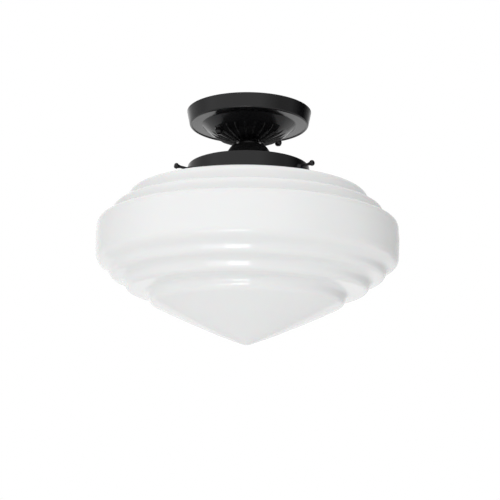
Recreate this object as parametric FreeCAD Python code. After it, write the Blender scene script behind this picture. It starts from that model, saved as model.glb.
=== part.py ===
import FreeCAD
import Part
import math
import os

# Semi flush ceiling light with a stepped opal glass shade. Lengths are in millimetres and angles in
# degrees. z = 0 is the ceiling and the light hangs down from it, around the Z axis. X runs to the
# right of the viewer and Y away from the viewer. An azimuth is counted from X towards Y.

V = FreeCAD.Vector
CENTRE = V(0, 0, 0)
UP = V(0, 0, 1)

# ---- driving dimensions -------------------------------------------------------------------------

STEEL = 1.2                      # sheet of the canopy and of the shade holder
WIDE_ROUNDING = 8.0              # from this radius up a rounding is two chords
BEND_CHORDS = 3                  # chords in each bend of a wire
TAP_PLAY = 0.05                  # radial play between a plain stud and its tapped hole
CUT_PAST = 1.0                   # how far a cutter runs past the face it cuts

# canopy: tapered wall, flat band, step and ribbed dome
CANOPY_RIM_R = 79.4              # 158.8 across, the 6 1/4 inch size
CANOPY_FOOT_R = 75.6
CANOPY_WALL_H = 18.0
BAND_INNER_R = 56.0
DOME_EDGE_R = 54.2
DOME_EDGE_Z = -23.4
DOME_ARC_R = 52.6                # the arc's outer end, inside the step's foot
DOME_ARC_Z = -24.3
DOME_START_R = 50.2              # from here inwards the dome follows the arc
DOME_MIDDLE_R = 33.0
DOME_MIDDLE_Z = -34.0
DOME_FLAT_R = 16.0
DOME_FLAT_Z = -40.0
DOME_CHORDS = 4
RIB_COUNT = 24
RIB_WIDTH = 1.9
RIB_HEIGHT = 2.1
RIB_OUTER_R = 48.5
RIB_INNER_R = 15.0
RIB_CHORDS = 4
RIB_SLOPE = 2.2                  # run of a rib's sloping end
RIB_BEVEL = 0.57                 # chamfer along a rib's crest
RIB_INNER_HEIGHT = 1.26          # a rib is lower near the neck
RIB_ROOT = -0.72                 # how far a rib reaches into the sheet

# canopy fixings: two studs on the standard 3 1/2 inch spacing
STUD_CIRCLE_R = 44.45
STUD_AZIMUTH = 31.0
STUD_R = 2.08
STUD_HOLE_R = 2.5
SEAT_R = 5.2
SEAT_Z = -28.2                   # the seat is pressed into the dome's inner side
SEAT_TOP_Z = -24.8               # top of the seat's pressed wall
BALL_R = 4.8
BALL_CHORDS = 5
BALL_DROP = 3.5                  # the ball's centre below its top face
BALL_COLLAR_R = 3.9
BALL_GAP = 0.1                   # between the seat and the ball nut's top face
STUD_DEPTH_IN_NUT = 5.5
STUD_TOP_Z = -0.2
STUD_CHAMFER = 0.5
JAM_NUT_R = 4.9                  # across the corners
JAM_NUT_T = 3.0

# mounting plate against the ceiling box
PLATE_R = 52.0
PLATE_T = 1.6
PLATE_RIM_H = 5.0
PLATE_BEND = 2.4
PLATE_BORE_R = 14.0
SLOT_SPACING = 79.4              # takes box screws from 69.9 to 88.9 apart
SLOT_LENGTH = 15.0
SLOT_R = 2.5
GROUND_SCREW_R = 30.0
GROUND_SCREW_AZIMUTH = 121.0
GROUND_SHANK_R = 2.4
GROUND_HEAD_R = 4.6
GROUND_HEAD_H = 2.6

# hollow nipple and what it clamps
NIPPLE_R = 5.0
NIPPLE_BORE_R = 3.3
NIPPLE_TOP_Z = -27.0
NIPPLE_END_Z = -86.0
NIPPLE_HOLE_R = 5.2
NUT_R = 8.2                      # across the corners of a locknut
NUT_T = 4.0
WASHER_R = 10.5
WASHER_T = 1.0
COLLAR_R = 13.2
CUP_TOP_Z = -44.4
CUP_SHOULDER = (22.5, -45.0, 7.0)      # radius, height and rounding
CUP_WAIST = (30.5, -57.4, 22.0)
CUP_BASE_R = 36.0
CUP_T = 1.0

# shade holder, a shallow flared cap for 6 inch shades
HOLDER_TOP_Z = -72.2
HOLDER_TOP_R = 76.9
HOLDER_RIM_R = 79.0
HOLDER_RIM_Z = -92.0

# thumb screws through the holder's wall
SCREW_AZIMUTHS = {"right": -37.0, "left": -157.0, "rear": 83.0}
SCREW_TILT = 7.0
SCREW_WALL_Z = -84.6
SCREW_TIP_R = 71.7
SCREW_HEAD_R = 97.0              # the head's middle, from the light's axis
SCREW_SHANK_R = 1.75
SCREW_KNOB_R = 3.6
SCREW_KNOB_L = 4.8
SCREW_COLLAR_FOOT_R = 4.4        # the collar pulled out of the holder's wall
SCREW_COLLAR_MOUTH_R = 2.9
SCREW_COLLAR_L = 4.6
SCREW_COLLAR_ROOT = -0.7
SCREW_PLAY = 0.06

# glass shade: corners of the outer profile as radius, height and rounding, from the neck down
GLASS_T = 3.2
GLASS_NECK_R = 71.3
BEAD_R = 75.0
BEAD_TOP_Z = -76.8
BEAD_FOOT_Z = -83.2
BEAD_ROUNDING = 2.6
GLASS_CORNERS = [
    (GLASS_NECK_R, -92.3, 3.0),
    (150.5, -112.0, 9.0),        # shoulder
    (153.0, -131.5, 4.0),
    (169.5, -128.5, 7.0),        # upper step
    (171.0, -149.0, 4.0),
    (187.4, -144.6, 8.0),        # top of the band
    (188.8, -170.0, 0),
    (187.4, -199.6, 12.0),       # foot of the band
    (173.0, -207.5, 6.0),
    (166.0, -217.0, 7.0),        # first lower step
    (154.0, -219.6, 6.0),
    (146.6, -233.0, 7.0),        # second lower step
    (122.5, -234.4, 6.0),
    (118.5, -249.0, 9.0),        # edge of the cone, which bulges a little
    (78.0, -268.8, 0),
    (35.0, -287.2, 0),
    (4.0, -298.2, 0),            # blunt tip
    (1.8, -299.0, 0),
    (0.0, -299.0, 0),
]

# lamp socket, medium screw base
SOCKET_TOP_Z = -104.0
SOCKET_MOUTH_Z = -152.0
SOCKET_R = 20.5
SHELL_R = 14.0
SHELL_BORE_R = 13.3
SHELL_TOP_Z = -118.0
SHELL_FLOOR_HOLE_R = 6.0
SOCKET_FLOOR_Z = -116.5
CONTACT_T = 0.5
BRACKET_HALF = 17.0
BRACKET_T = 1.4
BRACKET_W = 14.0
BRACKET_FOOT_END = 8.6           # inner end of each foot, from the axis
BRACKET_SCREW_Y = 11.0
TERMINAL_X = 14.6
LEAD_ENTRY_X = 9.0
LEAD_ENTRY_L = 5.0

# insulated leads and their connectors
LEAD_D = 2.2
LEAD_OFFSET = 1.5                # from the nipple's axis
GROUND_D = 1.6
CONNECTOR_L = 21.0
CONNECTOR_R = 6.2
CONNECTOR_BORE_R = 3.6
CONNECTOR_BORE_L = 13.0
CONNECTOR_MOUTH_R = 25.5         # a connector lies on the dome with its mouth at this radius
CONNECTOR_GAP = 0.5
CONNECTOR_SLOPE_R = 35.0         # and takes the dome's slope from here
LEAD_REST = 1.0                  # from a wire's end to the end of its connector's bore

# ---- helpers ------------------------------------------------------------------------------------


def polar(radius, azimuth, z=0.0):
    """The point at this radius and azimuth."""
    angle = math.radians(azimuth)
    return V(radius * math.cos(angle), radius * math.sin(angle), z)


def arc_at(before, corner, after, radius):
    """Start, middle and end of the arc that rounds a corner."""
    back = (before - corner).normalize()
    ahead = (after - corner).normalize()
    half = back.getAngle(ahead) / 2
    run = radius / math.tan(half)
    middle = corner + (back + ahead).normalize() * (radius / math.sin(half) - radius)
    return corner + back * run, middle, corner + ahead * run


def arc_points(first, middle, last, chords):
    """Points on the arc through three points, one more than its chords."""
    return Part.Arc(first, middle, last).toShape().discretize(Number=chords + 1)


def outline(corners):
    """Points along (r, z, rounding) corners. A wide rounding is two chords, a small one is one."""
    points = [V(r, 0, z) for r, z, rounding in corners]
    line = [points[0]]
    for i in range(1, len(points) - 1):
        rounding = corners[i][2]
        if rounding:
            chords = 2 if rounding >= WIDE_ROUNDING else 1
            line += arc_points(*arc_at(points[i - 1], points[i], points[i + 1], rounding), chords)
        else:
            line.append(points[i])
    return line + [points[-1]]


def parallel(points, distance):
    """The line at this distance on the right of a line in the XZ plane, with sharp corners."""
    runs = [(end - start).normalize() for start, end in zip(points, points[1:])]
    normals = [V(run.z, 0, -run.x) for run in runs]
    line = [points[0] + normals[0] * distance]
    for point, before, after in zip(points[1:], normals, normals[1:]):
        line.append(point + (before + after) * (distance / (1 + before.dot(after))))
    return line + [points[-1] + normals[-1] * distance]


def wall(points, thickness):
    """The section of a sheet: its outer face follows the points, its thickness lies to their right."""
    inner = parallel(points, thickness)
    return Part.Face(Part.makePolygon(points + inner[::-1] + points[:1]))


def turned(section):
    """A section in the XZ plane revolved around the Z axis."""
    return section.revolve(CENTRE, UP, 360)


def turned_corners(corners):
    """A solid of revolution from closed (r, z, rounding) corners."""
    points = outline(corners)
    return turned(Part.Face(Part.makePolygon(points + points[:1])))


def disc(radius, top, bottom):
    """An upright cylinder between two heights."""
    return Part.makeCylinder(radius, top - bottom, V(0, 0, bottom))


def ring(outer, inner, top, bottom):
    """A flat ring, such as a washer or a sleeve."""
    return disc(outer, top, bottom).cut(disc(inner, top + CUT_PAST, bottom - CUT_PAST))


def hex_nut(corner_r, bore_r, top, bottom):
    """A hexagon nut with its corners turned off."""
    points = [polar(corner_r, 60 * i, bottom) for i in range(7)]
    prism = Part.Face(Part.makePolygon(points)).extrude(V(0, 0, top - bottom))
    trim = 0.08 * corner_r
    middle = (top + bottom) / 2
    corners = [
        (0, bottom, 0),
        (corner_r - 2 * trim, bottom, 0),
        (corner_r + trim, middle, 0),
        (corner_r - 2 * trim, top, 0),
        (0, top, 0),
    ]
    bore = disc(bore_r, top + CUT_PAST, bottom - CUT_PAST)
    return prism.common(turned_corners(corners)).cut(bore)


def moved(shape, offset):
    """A shifted copy."""
    copy = shape.copy()
    copy.translate(offset)
    return copy


def spun(shape, azimuth):
    """A copy turned around the light's axis."""
    copy = shape.copy()
    copy.rotate(CENTRE, UP, azimuth)
    return copy


def tube(name, points, diameter):
    """A round wire along straight runs, with each bend made of chords."""
    line = [points[0]]
    radii = []
    for before, corner, after in zip(points, points[1:], points[2:]):
        half = (before - corner).getAngle(after - corner) / 2
        shorter = min((before - corner).Length, (after - corner).Length)
        radius = 0.45 * shorter * math.tan(half)
        line += arc_points(*arc_at(before, corner, after, radius), BEND_CHORDS)
        radii.append(round(radius, 1))
    path = Part.makePolygon(line + [points[-1]])
    section = Part.Wire(Part.makeCircle(diameter / 2, points[0], points[1] - points[0]))
    mitred = 1
    wire = path.makePipeShell([section], True, False, mitred)
    expected = math.pi * diameter**2 / 4 * path.Length
    print(name, "bend radii", radii, "length", round(path.Length, 1),
          "volume ratio", round(wire.Volume / expected, 4))
    return wire


# ---- canopy and its fixings ---------------------------------------------------------------------


def dome_arc(offset):
    """The dome's outer arc, moved outwards by an offset, and its centre and radius."""
    outer = V(DOME_ARC_R, 0, DOME_ARC_Z)
    middle = V(DOME_MIDDLE_R, 0, DOME_MIDDLE_Z)
    inner = V(DOME_FLAT_R, 0, DOME_FLAT_Z)
    circle = Part.Arc(outer, middle, inner).toShape().Curve
    return circle.Center, circle.Radius + offset


def on_dome(r, offset=0.0):
    """The point of the dome's outer face at radius r, moved outwards by an offset."""
    centre, radius = dome_arc(offset)
    return V(r, 0, centre.z - math.sqrt(radius**2 - (r - centre.x) ** 2))


def canopy_rib():
    """One rib: a thin upright web along the dome, with a bevelled crest and sloping ends."""
    middle_r = (RIB_OUTER_R + RIB_INNER_R) / 2
    crest_out = on_dome(RIB_OUTER_R - RIB_SLOPE, RIB_HEIGHT)
    crest_in = on_dome(RIB_INNER_R + RIB_SLOPE, RIB_INNER_HEIGHT)
    crest = arc_points(crest_out, on_dome(middle_r, RIB_HEIGHT), crest_in, RIB_CHORDS)
    foot = arc_points(on_dome(RIB_INNER_R, RIB_ROOT), on_dome(middle_r, RIB_ROOT),
                      on_dome(RIB_OUTER_R, RIB_ROOT), RIB_CHORDS)
    web = Part.Face(Part.makePolygon(crest + foot + crest[:1])).extrude(V(0, RIB_WIDTH, 0))
    web.translate(V(0, -RIB_WIDTH / 2, 0))
    ridge = []
    for edge in web.Edges:
        middle = edge.CenterOfMass
        along_web = edge.BoundBox.YLength < RIB_WIDTH / 2
        if along_web and middle.z < on_dome(middle.x, RIB_HEIGHT / 2).z:
            ridge.append(edge)
    return web.makeChamfer(RIB_BEVEL, ridge)


def canopy():
    """The pressed pan, its ribs, the two stud seats and the centre hole."""
    shoulder = on_dome(DOME_START_R)
    points = outline([
        (CANOPY_RIM_R, 0, 0),
        (CANOPY_FOOT_R, -CANOPY_WALL_H, 2.4),
        (BAND_INNER_R, -CANOPY_WALL_H, 0),
        (DOME_EDGE_R, DOME_EDGE_Z, 0),
        (shoulder.x, shoulder.z, 0),
    ])
    dome_end = V(DOME_FLAT_R, 0, DOME_FLAT_Z)
    points += arc_points(shoulder, on_dome(DOME_MIDDLE_R), dome_end, DOME_CHORDS)[1:]
    points.append(V(NIPPLE_HOLE_R, 0, DOME_FLAT_Z))
    below_ceiling = disc(CANOPY_RIM_R + CUT_PAST, 0, DOME_FLAT_Z - CUT_PAST)
    pan = turned(wall(points, STEEL)).common(below_ceiling)
    first = STUD_AZIMUTH + 180.0 / RIB_COUNT
    rib = canopy_rib()
    ribs = [spun(rib, first + i * 360.0 / RIB_COUNT) for i in range(RIB_COUNT)]
    shape = pan.fuse(ribs)
    under_skin = turned(Part.Face(Part.makePolygon(
        points + [V(NIPPLE_HOLE_R, 0, 0), points[0]])))
    for azimuth in (STUD_AZIMUTH, STUD_AZIMUTH + 180):
        at = polar(STUD_CIRCLE_R, azimuth)
        pocket = moved(disc(SEAT_R + STEEL, SEAT_TOP_Z, DOME_FLAT_Z), at).common(under_skin)
        boss = moved(disc(SEAT_R, SEAT_TOP_Z, SEAT_Z), at)
        recess = moved(disc(SEAT_R, SEAT_Z, DOME_FLAT_Z), at)
        inside = moved(disc(SEAT_R - STEEL, 0, SEAT_Z + STEEL), at)
        hole = moved(disc(STUD_HOLE_R, 0, DOME_FLAT_Z), at)
        shape = shape.fuse([pocket, boss]).cut([recess, inside, hole])
    return shape.removeSplitter()


def mounting_plate():
    """The round plate on the ceiling box, with a turned down rim, two slots and tapped holes."""
    points = outline([
        (PLATE_BORE_R, 0, 0),
        (PLATE_R, 0, PLATE_BEND),
        (PLATE_R, -PLATE_RIM_H, 0),
    ])
    plate = turned(wall(points, PLATE_T))
    over = CUT_PAST
    under = -PLATE_RIM_H - CUT_PAST
    for side in (-1, 1):
        length = SLOT_LENGTH - 2 * SLOT_R
        middle = side * SLOT_SPACING / 2
        corner = V(middle - length / 2, -SLOT_R, under)
        slot = Part.makeBox(length, 2 * SLOT_R, over - under, corner)
        for end in (-length / 2, length / 2):
            slot = slot.fuse(moved(disc(SLOT_R, over, under), V(middle + end, 0, 0)))
        plate = plate.cut(slot)
    for azimuth in (STUD_AZIMUTH, STUD_AZIMUTH + 180):
        tapped = disc(STUD_R + TAP_PLAY, over, under)
        plate = plate.cut(moved(tapped, polar(STUD_CIRCLE_R, azimuth)))
    tapped = disc(GROUND_SHANK_R + TAP_PLAY, over, under)
    plate = plate.cut(moved(tapped, polar(GROUND_SCREW_R, GROUND_SCREW_AZIMUTH)))
    return plate.removeSplitter()


def stud(azimuth):
    """A threaded stud that hangs from the plate through the canopy."""
    end = SEAT_Z - STUD_DEPTH_IN_NUT
    corners = [
        (0, STUD_TOP_Z, 0),
        (STUD_R, STUD_TOP_Z, 0),
        (STUD_R, end + STUD_CHAMFER, 0),
        (STUD_R - STUD_CHAMFER, end, 0),
        (0, end, 0),
    ]
    return moved(turned_corners(corners), polar(STUD_CIRCLE_R, azimuth))


def stud_nut(azimuth):
    """The jam nut that locks a stud to the plate."""
    nut = hex_nut(JAM_NUT_R, STUD_R + TAP_PLAY, -PLATE_T, -PLATE_T - JAM_NUT_T)
    return moved(nut, polar(STUD_CIRCLE_R, azimuth))


def ball_nut(azimuth):
    """A ball with a short collar and a blind tapped hole, seated on the canopy."""
    top = SEAT_Z - BALL_GAP
    centre = V(0, 0, top - BALL_DROP)
    collar_foot_z = centre.z + math.sqrt(BALL_R**2 - BALL_COLLAR_R**2)
    collar_foot = V(BALL_COLLAR_R, 0, collar_foot_z)
    ball = arc_points(collar_foot, centre + V(BALL_R, 0, 0), centre - V(0, 0, BALL_R), BALL_CHORDS)
    bore_r = STUD_R + TAP_PLAY
    bore_end = SEAT_Z - STUD_DEPTH_IN_NUT - 0.3
    top_side = [
        V(0, 0, bore_end),
        V(bore_r, 0, bore_end),
        V(bore_r, 0, top),
        V(BALL_COLLAR_R, 0, top),
    ]
    section = Part.Face(Part.makePolygon(top_side + ball + top_side[:1]))
    return moved(turned(section), polar(STUD_CIRCLE_R, azimuth))


def ground_screw():
    """The washer head screw that clamps the ground wire to the plate."""
    washer_z = -PLATE_T - GROUND_D
    end = washer_z - GROUND_HEAD_H
    screw = turned_corners([
        (0, 0, 0),
        (GROUND_SHANK_R, 0, 0),
        (GROUND_SHANK_R, washer_z, 0),
        (GROUND_HEAD_R, washer_z, 0),
        (GROUND_HEAD_R, washer_z - 1.0, 0),
        (GROUND_HEAD_R - 1.2, end, 0),
        (0, end, 0),
    ])
    slot_w = 1.1
    slot = Part.makeBox(2 * GROUND_HEAD_R, slot_w, 1.2, V(-GROUND_HEAD_R, -slot_w / 2, end - 0.1))
    return moved(screw.cut(slot), polar(GROUND_SCREW_R, GROUND_SCREW_AZIMUTH))


# ---- stem: nipple, nuts, collar, cup ------------------------------------------------------------


def nipple():
    """The threaded tube that ties the light together and carries the leads."""
    return ring(NIPPLE_R, NIPPLE_BORE_R, NIPPLE_TOP_Z, NIPPLE_END_Z)


def neck_collar():
    """The short plain neck between canopy and cup."""
    corners = [(NIPPLE_HOLE_R, DOME_FLAT_Z, 0), (COLLAR_R, DOME_FLAT_Z, 0.8),
               (COLLAR_R, CUP_TOP_Z, 0.8), (NIPPLE_HOLE_R, CUP_TOP_Z, 0)]
    return turned_corners(corners)


def dome_cup():
    """The spun dome that covers the nuts on top of the holder."""
    points = outline([
        (NIPPLE_HOLE_R, CUP_TOP_Z, 0),
        CUP_SHOULDER,
        CUP_WAIST,
        (CUP_BASE_R, HOLDER_TOP_Z, 0),
    ])
    cup = turned(wall(points, CUP_T))
    return cup.common(disc(CUP_BASE_R + CUT_PAST, 0, HOLDER_TOP_Z))


# ---- shade holder and thumb screws --------------------------------------------------------------


def holder_wall_r():
    """The radius of the holder's outer wall at the height where the thumb screws cross it."""
    slope = (HOLDER_RIM_R - HOLDER_TOP_R) / (HOLDER_TOP_Z - HOLDER_RIM_Z)
    return HOLDER_TOP_R + slope * (HOLDER_TOP_Z - SCREW_WALL_Z)


def along_screw(shape, azimuth):
    """A shape made upright around Z, laid on a thumb screw's axis with z = 0 at the wall."""
    copy = shape.copy()
    copy.rotate(CENTRE, V(0, 1, 0), 90 - SCREW_TILT)
    copy.translate(V(holder_wall_r(), 0, SCREW_WALL_Z))
    return spun(copy, azimuth)


def shade_holder():
    """The flared cap with its centre hole and three pulled collars for the thumb screws."""
    points = outline([
        (NIPPLE_HOLE_R, HOLDER_TOP_Z, 0),
        (HOLDER_TOP_R, HOLDER_TOP_Z, 1.8),
        (HOLDER_RIM_R, HOLDER_RIM_Z, 0),
    ])
    shape = turned(wall(points, STEEL))
    shape = shape.common(disc(HOLDER_RIM_R + CUT_PAST, HOLDER_TOP_Z, HOLDER_RIM_Z))
    collar = Part.makeCone(SCREW_COLLAR_FOOT_R, SCREW_COLLAR_MOUTH_R, SCREW_COLLAR_L,
                           V(0, 0, SCREW_COLLAR_ROOT))
    bore = disc(SCREW_SHANK_R + SCREW_PLAY, SCREW_COLLAR_L + CUT_PAST, -SCREW_COLLAR_L - CUT_PAST)
    for azimuth in SCREW_AZIMUTHS.values():
        shape = shape.fuse(along_screw(collar, azimuth))
    for azimuth in SCREW_AZIMUTHS.values():
        shape = shape.cut(along_screw(bore, azimuth))
    return shape.removeSplitter()


def thumb_screw(azimuth):
    """A slender shank, a flared neck and a rounded knob."""
    tilt = math.cos(math.radians(SCREW_TILT))
    tip = (SCREW_TIP_R - holder_wall_r()) / tilt
    knob = (SCREW_HEAD_R - holder_wall_r()) / tilt - SCREW_KNOB_L / 2
    corners = [
        (0, tip, 0),
        (SCREW_SHANK_R - 0.5, tip, 0),
        (SCREW_SHANK_R, tip + 0.5, 0),
        (SCREW_SHANK_R, knob - 1.6, 0),
        (SCREW_KNOB_R - 1.0, knob, 0),
        (SCREW_KNOB_R, knob + 1.0, 0),
        (SCREW_KNOB_R, knob + SCREW_KNOB_L - 0.2, 1.6),
        (0, knob + SCREW_KNOB_L, 0),
    ]
    return along_screw(turned_corners(corners), azimuth)


# ---- glass --------------------------------------------------------------------------------------


def glass_shade():
    """The blown shade: bead and neck, shoulder, steps, band, steps and cone with a rounded tip."""
    bead = [
        (GLASS_NECK_R - GLASS_T, BEAD_TOP_Z, 0),
        (BEAD_R, BEAD_TOP_Z, BEAD_ROUNDING),
        (BEAD_R, BEAD_FOOT_Z, BEAD_ROUNDING),
        (GLASS_NECK_R, BEAD_FOOT_Z, 0),
    ]
    outer = outline(bead + GLASS_CORNERS)
    plain = [V(r, 0, z) for r, z, rounding in [(GLASS_NECK_R, BEAD_TOP_Z, 0)] + GLASS_CORNERS]
    inner = parallel(plain, GLASS_T)
    return turned(Part.Face(Part.makePolygon(outer + inner[::-1])))


# ---- lamp socket --------------------------------------------------------------------------------


def socket_bracket():
    """A bent strap that hangs the socket from the nipple."""
    plate_z = HOLDER_TOP_Z - STEEL - WASHER_T - NUT_T
    foot_z = SOCKET_TOP_Z
    points = outline([
        (-BRACKET_FOOT_END, foot_z, 0),
        (-BRACKET_HALF, foot_z, 2.2),
        (-BRACKET_HALF, plate_z, 3.0),
        (BRACKET_HALF, plate_z, 3.0),
        (BRACKET_HALF, foot_z, 2.2),
        (BRACKET_FOOT_END, foot_z, 0),
    ])
    strap = wall(points, BRACKET_T).extrude(V(0, BRACKET_W, 0))
    strap.translate(V(0, -BRACKET_W / 2, 0))
    strap = spun(strap, 90)
    strap = strap.cut(disc(NIPPLE_HOLE_R, plate_z + 2, plate_z - 4))
    for side in (-1, 1):
        hole = disc(1.9, foot_z + 3, SOCKET_TOP_Z - 1)
        strap = strap.cut(moved(hole, V(0, side * BRACKET_SCREW_Y, 0)))
    return strap


def socket_body():
    """The glazed porcelain body with its cavity, screw holes and lead entries."""
    body = turned_corners([
        (0, SOCKET_TOP_Z, 0),
        (SOCKET_R - 2.0, SOCKET_TOP_Z, 0),
        (SOCKET_R, SOCKET_TOP_Z - 2.5, 0),
        (SOCKET_R, SOCKET_MOUTH_Z + 14, 0),
        (SOCKET_R - 2.0, SOCKET_MOUTH_Z, 0),
        (SHELL_R + 0.2, SOCKET_MOUTH_Z, 0),
        (SHELL_R + 0.2, SOCKET_FLOOR_Z, 0),
        (0, SOCKET_FLOOR_Z, 0),
    ])
    for side in (-1, 1):
        screw = moved(disc(1.75, SOCKET_TOP_Z + 1, SOCKET_TOP_Z - 9),
                      V(0, side * BRACKET_SCREW_Y, 0))
        terminal = moved(disc(1.55, SOCKET_TOP_Z + 1, SOCKET_TOP_Z - 7),
                         V(side * TERMINAL_X, 0, 0))
        entry = moved(disc(LEAD_D / 2 + 0.15, SOCKET_TOP_Z + 1, SOCKET_TOP_Z - LEAD_ENTRY_L),
                      V(side * LEAD_ENTRY_X, 0, 0))
        body = body.cut([screw, terminal, entry])
    rivet = disc(1.5, SOCKET_TOP_Z + 1, SOCKET_FLOOR_Z - 1)
    return body.cut(rivet)


def screw_shell():
    """The thin brass shell that the lamp screws into, with a hole in its floor for the contact."""
    points = outline([
        (SHELL_FLOOR_HOLE_R, SHELL_TOP_Z, 0),
        (SHELL_R, SHELL_TOP_Z, 2.0),
        (SHELL_R, SOCKET_MOUTH_Z + 2.0, 0),
    ])
    return turned(wall(points, SHELL_R - SHELL_BORE_R))


def centre_contact():
    """The spring tongue over the hole in the shell's floor, with the rivet that holds it."""
    points = outline([
        (-4.4, SOCKET_FLOOR_Z, 0),
        (4.2, SOCKET_FLOOR_Z, 0.5),
        (4.2, SOCKET_FLOOR_Z - 1.6, 0.5),
        (-3.6, SOCKET_FLOOR_Z - 1.75, 0),
    ])
    tongue = wall(points, CONTACT_T).extrude(V(0, 5, 0))
    tongue.translate(V(0, -2.5, 0))
    rivet = disc(1.4, SOCKET_TOP_Z - 3, SOCKET_FLOOR_Z)
    head = disc(2.4, SOCKET_FLOOR_Z - CONTACT_T, SOCKET_FLOOR_Z - CONTACT_T - 0.3)
    return tongue.fuse([rivet, head]).removeSplitter()


def pan_screw(radius, head_r, head_h, z, depth):
    """A short screw with a rounded, slotted head that sits on height z."""
    screw = turned_corners([
        (0, z + head_h, 0),
        (0.8 * head_r, z + head_h, 0),
        (head_r, z + 0.5 * head_h, 0),
        (head_r, z, 0),
        (radius, z, 0),
        (radius, z - depth, 0),
        (0, z - depth, 0),
    ])
    slot = Part.makeBox(3 * head_r, 0.8, head_h, V(-1.5 * head_r, -0.4, z + 0.55 * head_h))
    return screw.cut(slot)


def bracket_screws():
    """The two screws that hold the bracket's feet on the porcelain."""
    screw = pan_screw(1.65, 3.1, 2.0, SOCKET_TOP_Z + BRACKET_T, 8.0)
    return Part.makeCompound([moved(screw, V(0, side * BRACKET_SCREW_Y, 0)) for side in (-1, 1)])


def terminal_screw(side):
    """The screw that clamps a lead's bared end."""
    return moved(pan_screw(1.45, 2.7, 1.8, SOCKET_TOP_Z, 6.0), V(side * TERMINAL_X, 0, 0))


# ---- leads --------------------------------------------------------------------------------------


def connector_at(origin, direction):
    """A twist-on connector with its open end at the origin, pointing along the direction."""
    body = turned_corners([
        (0, 0, 0),
        (CONNECTOR_R, 0, 0),
        (CONNECTOR_R - 0.4, 6.0, 0),
        (CONNECTOR_R - 1.6, 7.2, 0),
        (CONNECTOR_R - 2.0, CONNECTOR_L - 1.6, 0),
        (CONNECTOR_R - 3.6, CONNECTOR_L, 0),
        (0, CONNECTOR_L, 0),
    ])
    body = body.cut(disc(CONNECTOR_BORE_R, CONNECTOR_BORE_L - CUT_PAST, -CUT_PAST))
    turn = FreeCAD.Rotation(UP, direction)
    body.Placement = FreeCAD.Placement(origin, turn)
    return body


def dome_slope(r):
    """The unit direction along the dome's inner face at radius r, outwards and upwards."""
    step = on_dome(r + 1, -STEEL) - on_dome(r - 1, -STEEL)
    return step.normalize()


def lead_connector_place():
    """The mouth and the direction of a connector that lies on the dome inside the canopy."""
    along = dome_slope(CONNECTOR_SLOPE_R)
    normal = V(-along.z, 0, along.x)
    mouth = on_dome(CONNECTOR_MOUTH_R, -STEEL) + normal * (CONNECTOR_R + CONNECTOR_GAP)
    return mouth, along


def lead_connector(side):
    """A connector that lies on the dome inside the canopy, open end inwards."""
    mouth, along = lead_connector_place()
    shape = connector_at(mouth, along)
    return shape if side > 0 else spun(shape, 180)


def lead(name, side):
    """An insulated lead: socket entry, bracket, nipple, and over into its connector."""
    mouth, along = lead_connector_place()
    points = [
        V(LEAD_ENTRY_X, 0, SOCKET_TOP_Z - LEAD_ENTRY_L),
        V(LEAD_ENTRY_X, 0, SOCKET_TOP_Z + 5.5),
        V(LEAD_OFFSET, 0, SOCKET_TOP_Z + 15.5),
        V(LEAD_OFFSET, 0, -15.5),
        V(14.5, 0, -13.0),
        mouth - along * 3.0,
        mouth + along * (CONNECTOR_BORE_L - LEAD_REST),
    ]
    if side < 0:
        points = [V(-p.x, 0, p.z) for p in points]
    return tube(name, points, LEAD_D)


def ground_points():
    """The bare ground wire's route, from the plate's screw to its connector's bore."""
    screw = polar(GROUND_SCREW_R, GROUND_SCREW_AZIMUTH)
    z = -PLATE_T - GROUND_D / 2
    return [
        V(screw.x + 2.5, screw.y, z),
        V(screw.x + 13.0, screw.y, z),
        V(screw.x + 24.0, screw.y, -24.8),
        V(screw.x + 38.0, screw.y, -24.8),
    ]


def ground_wire():
    """The bare ground wire."""
    return tube("ground_wire", ground_points(), GROUND_D)


def wire_connector_ground():
    """The ground wire's connector, lying on the dome."""
    end = ground_points()[-1]
    return connector_at(end - V(CONNECTOR_BORE_L - LEAD_REST, 0, 0), V(1, 0, 0))


# ---- the whole light ----------------------------------------------------------------------------

stud_azimuths = {"right": STUD_AZIMUTH, "left": STUD_AZIMUTH + 180}
holder_under = HOLDER_TOP_Z - STEEL
holder_nut_z = holder_under - WASHER_T
bracket_nut_z = holder_nut_z - NUT_T - BRACKET_T
canopy_inside = DOME_FLAT_Z + STEEL

parts = {
    "canopy": canopy(),
    "mounting_plate": mounting_plate(),
    "ground_screw": ground_screw(),
    "nipple": nipple(),
    "canopy_washer": ring(WASHER_R, NIPPLE_HOLE_R, canopy_inside + WASHER_T, canopy_inside),
    "canopy_locknut": hex_nut(NUT_R, NIPPLE_R, canopy_inside + WASHER_T + NUT_T,
                              canopy_inside + WASHER_T),
    "neck_collar": neck_collar(),
    "dome_cup": dome_cup(),
    "shade_holder": shade_holder(),
    "holder_washer": ring(WASHER_R, NIPPLE_HOLE_R, holder_under, holder_nut_z),
    "holder_locknut": hex_nut(NUT_R, NIPPLE_R, holder_nut_z, holder_nut_z - NUT_T),
    "socket_bracket": socket_bracket(),
    "bracket_locknut": hex_nut(NUT_R, NIPPLE_R, bracket_nut_z, bracket_nut_z - NUT_T),
    "bracket_screws": bracket_screws(),
    "socket_body": socket_body(),
    "screw_shell": screw_shell(),
    "centre_contact": centre_contact(),
    "terminal_screw_hot": terminal_screw(1),
    "terminal_screw_neutral": terminal_screw(-1),
    "lead_black": lead("lead_black", 1),
    "lead_white": lead("lead_white", -1),
    "wire_connector_black": lead_connector(1),
    "wire_connector_white": lead_connector(-1),
    "ground_wire": ground_wire(),
    "wire_connector_ground": wire_connector_ground(),
    "glass_shade": glass_shade(),
}
for side, azimuth in stud_azimuths.items():
    parts["stud_" + side] = stud(azimuth)
    parts["stud_nut_" + side] = stud_nut(azimuth)
    parts["ball_nut_" + side] = ball_nut(azimuth)
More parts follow.
